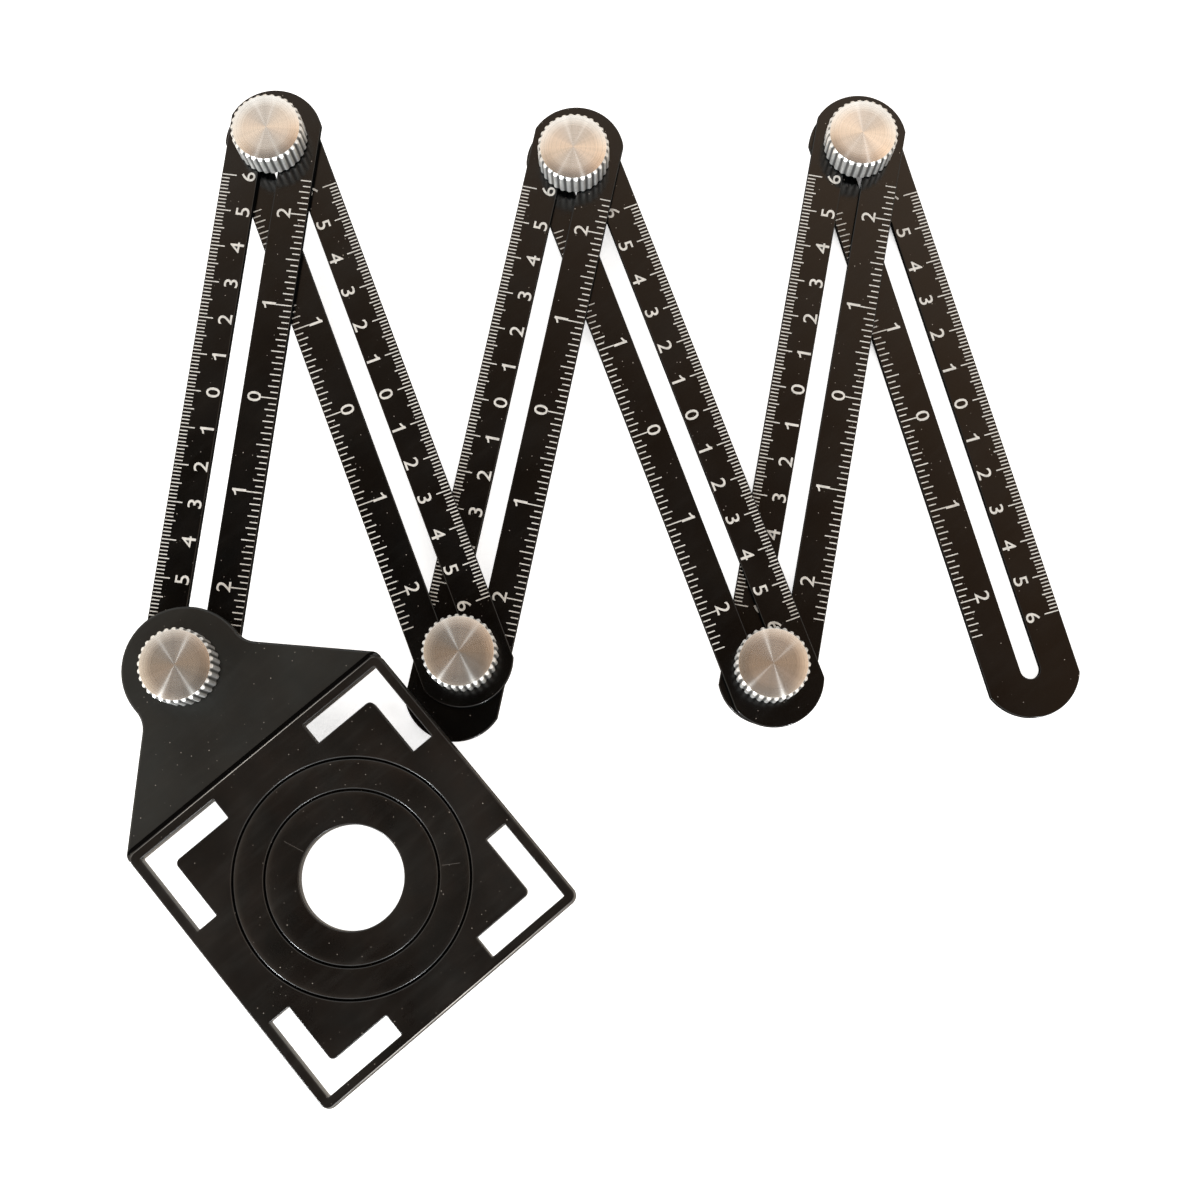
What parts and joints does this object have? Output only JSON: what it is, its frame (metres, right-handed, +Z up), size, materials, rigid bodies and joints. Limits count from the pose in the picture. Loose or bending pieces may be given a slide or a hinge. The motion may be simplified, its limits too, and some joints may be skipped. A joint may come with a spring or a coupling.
{
  "type": "multi-angle folding ruler",
  "caption": "Folding template ruler: slotted graduated strips joined by thumb nuts into an adjustable zigzag, with a square hole guide plate at one end.",
  "frame": {"origin": "centre of the guide plate's bore at the plate's underside", "axes": "+Z up along the bore and every pivot, +Y from the plate towards its bracket and first thumb nut, +X across the plate towards the unfolded arms"},
  "size_m": [0.2814, 0.2633, 0.0255],
  "materials": {
    "arm_black": "black anodised, glossy",
    "plate_black": "moulded black plastic, glossy",
    "nut_silver": "turned aluminium, spun crown and fluted rim",
    "hardware_steel": "plain zinc-plated steel"
  },
  "bodies": {
    "ruler_arm_1": {"ruler_arm_1": "arm_black"},
    "slot_bolt_1": {"slot_bolt_1": "hardware_steel", "washer_1": "hardware_steel"},
    "thumb_nut_1": {"thumb_nut_1": "nut_silver"},
    "guide_plate": {"guide_plate": "plate_black"},
    "outer_ring": {"outer_ring": "plate_black"},
    "inner_ring": {"inner_ring": "plate_black"},
    "washer_2": {"washer_2": "hardware_steel"},
    "slot_bolt_2": {"slot_bolt_2": "hardware_steel"},
    "thumb_nut_2": {"thumb_nut_2": "nut_silver"},
    "ruler_arm_2": {"ruler_arm_2": "arm_black"},
    "washer_3": {"washer_3": "hardware_steel"},
    "slot_bolt_3": {"slot_bolt_3": "hardware_steel"},
    "thumb_nut_3": {"thumb_nut_3": "nut_silver"},
    "ruler_arm_3": {"ruler_arm_3": "arm_black"},
    "washer_4": {"washer_4": "hardware_steel"},
    "slot_bolt_4": {"slot_bolt_4": "hardware_steel"},
    "thumb_nut_4": {"thumb_nut_4": "nut_silver"},
    "ruler_arm_4": {"ruler_arm_4": "arm_black"},
    "washer_5": {"washer_5": "hardware_steel"},
    "slot_bolt_5": {"slot_bolt_5": "hardware_steel"},
    "thumb_nut_5": {"thumb_nut_5": "nut_silver"},
    "ruler_arm_5": {"ruler_arm_5": "arm_black"},
    "washer_6": {"washer_6": "hardware_steel"},
    "slot_bolt_6": {"slot_bolt_6": "hardware_steel"},
    "thumb_nut_6": {"thumb_nut_6": "nut_silver"},
    "ruler_arm_6": {"ruler_arm_6": "arm_black"}
  },
  "joints": [
    {"name": "bolt_1_slide", "type": "slide", "parent": "ruler_arm_1", "child": "slot_bolt_1", "axis": [0.7327, 0.6805, 0], "range_m": [-0.0041, 0.007]},
    {"name": "plate_swing", "type": "hinge", "parent": "slot_bolt_1", "child": "guide_plate", "pos_m": [0, 0.068, 0.0015], "axis": [0, 0, 1], "range_deg": [-250, 6]},
    {"name": "thumb_nut_1_turn", "type": "hinge", "parent": "slot_bolt_1", "child": "thumb_nut_1", "pos_m": [0, 0.068, 0.0077], "axis": [0, 0, 1], "range_deg": [0, 360]},
    {"name": "outer_ring_lift", "type": "slide", "parent": "guide_plate", "child": "outer_ring", "axis": [0, 0, 1], "range_m": [0, 0.012]},
    {"name": "inner_ring_lift", "type": "slide", "parent": "outer_ring", "child": "inner_ring", "axis": [0, 0, 1], "range_m": [0, 0.012]},
    {"name": "joint_2_upper_slide", "type": "slide", "parent": "ruler_arm_1", "child": "washer_2", "axis": [-0.7327, -0.6805, 0], "range_m": [-0.002, 0.007]},
    {"name": "joint_2_fold", "type": "hinge", "parent": "washer_2", "child": "slot_bolt_2", "pos_m": [0.10515, 0.16566, -0.002], "axis": [0, 0, 1], "range_deg": [-1.5, 150]},
    {"name": "joint_2_lower_slide", "type": "slide", "parent": "slot_bolt_2", "child": "ruler_arm_2", "axis": [0.3326, 0.9431, 0], "range_m": [-0.0009, 0.036]},
    {"name": "thumb_nut_2_turn", "type": "hinge", "parent": "slot_bolt_2", "child": "thumb_nut_2", "pos_m": [0.10515, 0.16566, 0.0047], "axis": [0, 0, 1], "range_deg": [0, 360]},
    {"name": "joint_3_upper_slide", "type": "slide", "parent": "ruler_arm_2", "child": "washer_3", "axis": [0.3326, 0.9431, 0], "range_m": [-0.0007, 0.036]},
    {"name": "joint_3_fold", "type": "hinge", "parent": "washer_3", "child": "slot_bolt_3", "pos_m": [0.05592, 0.02608, -0.004], "axis": [0, 0, -1], "range_deg": [-21, 60]},
    {"name": "joint_3_lower_slide", "type": "slide", "parent": "slot_bolt_3", "child": "ruler_arm_3", "axis": [-0.7884, -0.6151, 0], "range_m": [-0.0094, 0.036]},
    {"name": "thumb_nut_3_turn", "type": "hinge", "parent": "slot_bolt_3", "child": "thumb_nut_3", "pos_m": [0.05592, 0.02608, 0.0027], "axis": [0, 0, 1], "range_deg": [0, 360]},
    {"name": "joint_4_upper_slide", "type": "slide", "parent": "ruler_arm_3", "child": "washer_4", "axis": [-0.7884, -0.6151, 0], "range_m": [-0.0027, 0.036]},
    {"name": "joint_4_fold", "type": "hinge", "parent": "washer_4", "child": "slot_bolt_4", "pos_m": [0.16433, 0.11066, -0.006], "axis": [0, 0, 1], "range_deg": [-21, 146]},
    {"name": "joint_4_lower_slide", "type": "slide", "parent": "slot_bolt_4", "child": "ruler_arm_4", "axis": [0.3394, 0.9406, 0], "range_m": [-0.0003, 0.036]},
    {"name": "thumb_nut_4_turn", "type": "hinge", "parent": "slot_bolt_4", "child": "thumb_nut_4", "pos_m": [0.16433, 0.11066, 0.0007], "axis": [0, 0, 1], "range_deg": [0, 360]},
    {"name": "joint_5_upper_slide", "type": "slide", "parent": "ruler_arm_4", "child": "washer_5", "axis": [0.3394, 0.9406, 0], "range_m": [-0.003, 0.036]},
    {"name": "joint_5_fold", "type": "hinge", "parent": "washer_5", "child": "slot_bolt_5", "pos_m": [0.11468, -0.02695, -0.008], "axis": [0, 0, -1], "range_deg": [-19, 148]},
    {"name": "joint_5_lower_slide", "type": "slide", "parent": "slot_bolt_5", "child": "ruler_arm_5", "axis": [-0.7734, -0.6339, 0], "range_m": [-0.0022, 0.036]},
    {"name": "thumb_nut_5_turn", "type": "hinge", "parent": "slot_bolt_5", "child": "thumb_nut_5", "pos_m": [0.11468, -0.02695, -0.0013], "axis": [0, 0, 1], "range_deg": [0, 360]},
    {"name": "joint_6_upper_slide", "type": "slide", "parent": "ruler_arm_5", "child": "washer_6", "axis": [-0.7734, -0.6339, 0], "range_m": [-0.00215, 0.036]},
    {"name": "joint_6_fold", "type": "hinge", "parent": "washer_6", "child": "slot_bolt_6", "pos_m": [0.22701, 0.06512, -0.01], "axis": [0, 0, 1], "range_deg": [-17, 152]},
    {"name": "joint_6_lower_slide", "type": "slide", "parent": "slot_bolt_6", "child": "ruler_arm_6", "axis": [-0.4066, -0.9136, 0], "range_m": [-0.14, 0.0008]},
    {"name": "thumb_nut_6_turn", "type": "hinge", "parent": "slot_bolt_6", "child": "thumb_nut_6", "pos_m": [0.22701, 0.06512, -0.0033], "axis": [0, 0, 1], "range_deg": [0, 360]}
  ]
}
